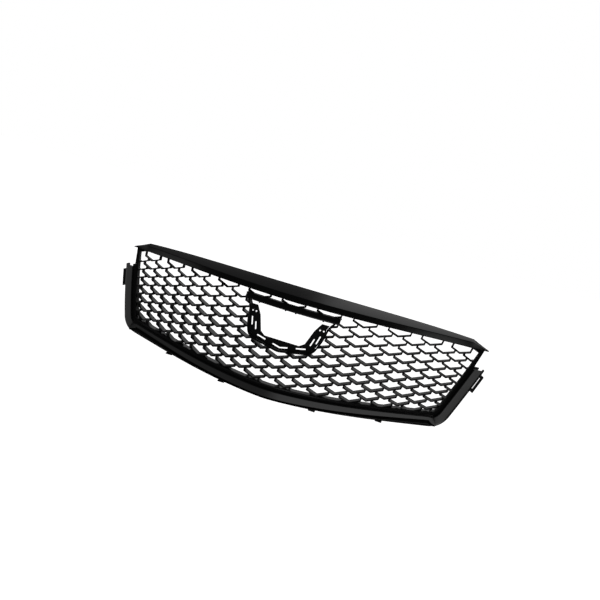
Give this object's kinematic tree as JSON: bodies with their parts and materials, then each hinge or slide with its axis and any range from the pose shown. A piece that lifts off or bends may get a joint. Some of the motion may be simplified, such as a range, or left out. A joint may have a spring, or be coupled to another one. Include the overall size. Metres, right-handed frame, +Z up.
{
  "type": "car front grille",
  "caption": "Bowed black mesh grille for a car's front bumper, with a U-shaped surround, a top bar and an open seat for an emblem",
  "frame": {"origin": "midway between the two outer upper fixing holes, on the top of their brackets", "axes": "+X to the right in a view of the front; +Y to the rear, so the front looks along -Y; +Z up"},
  "size_m": [1.0598, 0.2335, 0.2915],
  "materials": {
    "gloss_black": "moulded-in gloss black",
    "satin_black": "satin black, as moulded",
    "coated_steel": "dark coated sheet steel",
    "foam": "dark closed-cell foam"
  },
  "bodies": {
    "root": {"mesh_panel": "gloss_black", "upper_moulding": "gloss_black", "upper_carrier": "satin_black", "upper_bracket_left": "coated_steel", "upper_bracket_centre": "coated_steel", "upper_bracket_right": "coated_steel", "bracket_screws": "coated_steel", "moulding_clips": "coated_steel", "surround_moulding": "gloss_black", "surround_lip": "gloss_black", "surround_carrier": "satin_black", "carrier_screws": "coated_steel", "side_tab_left": "satin_black", "side_tab_right": "satin_black", "snap_lugs": "satin_black", "emblem_header_bar": "gloss_black", "emblem_bezel": "gloss_black", "emblem_bracket": "satin_black", "locating_pin_left": "satin_black", "locating_pin_right": "satin_black", "rattle_pads": "foam"}
  },
  "joints": []
}
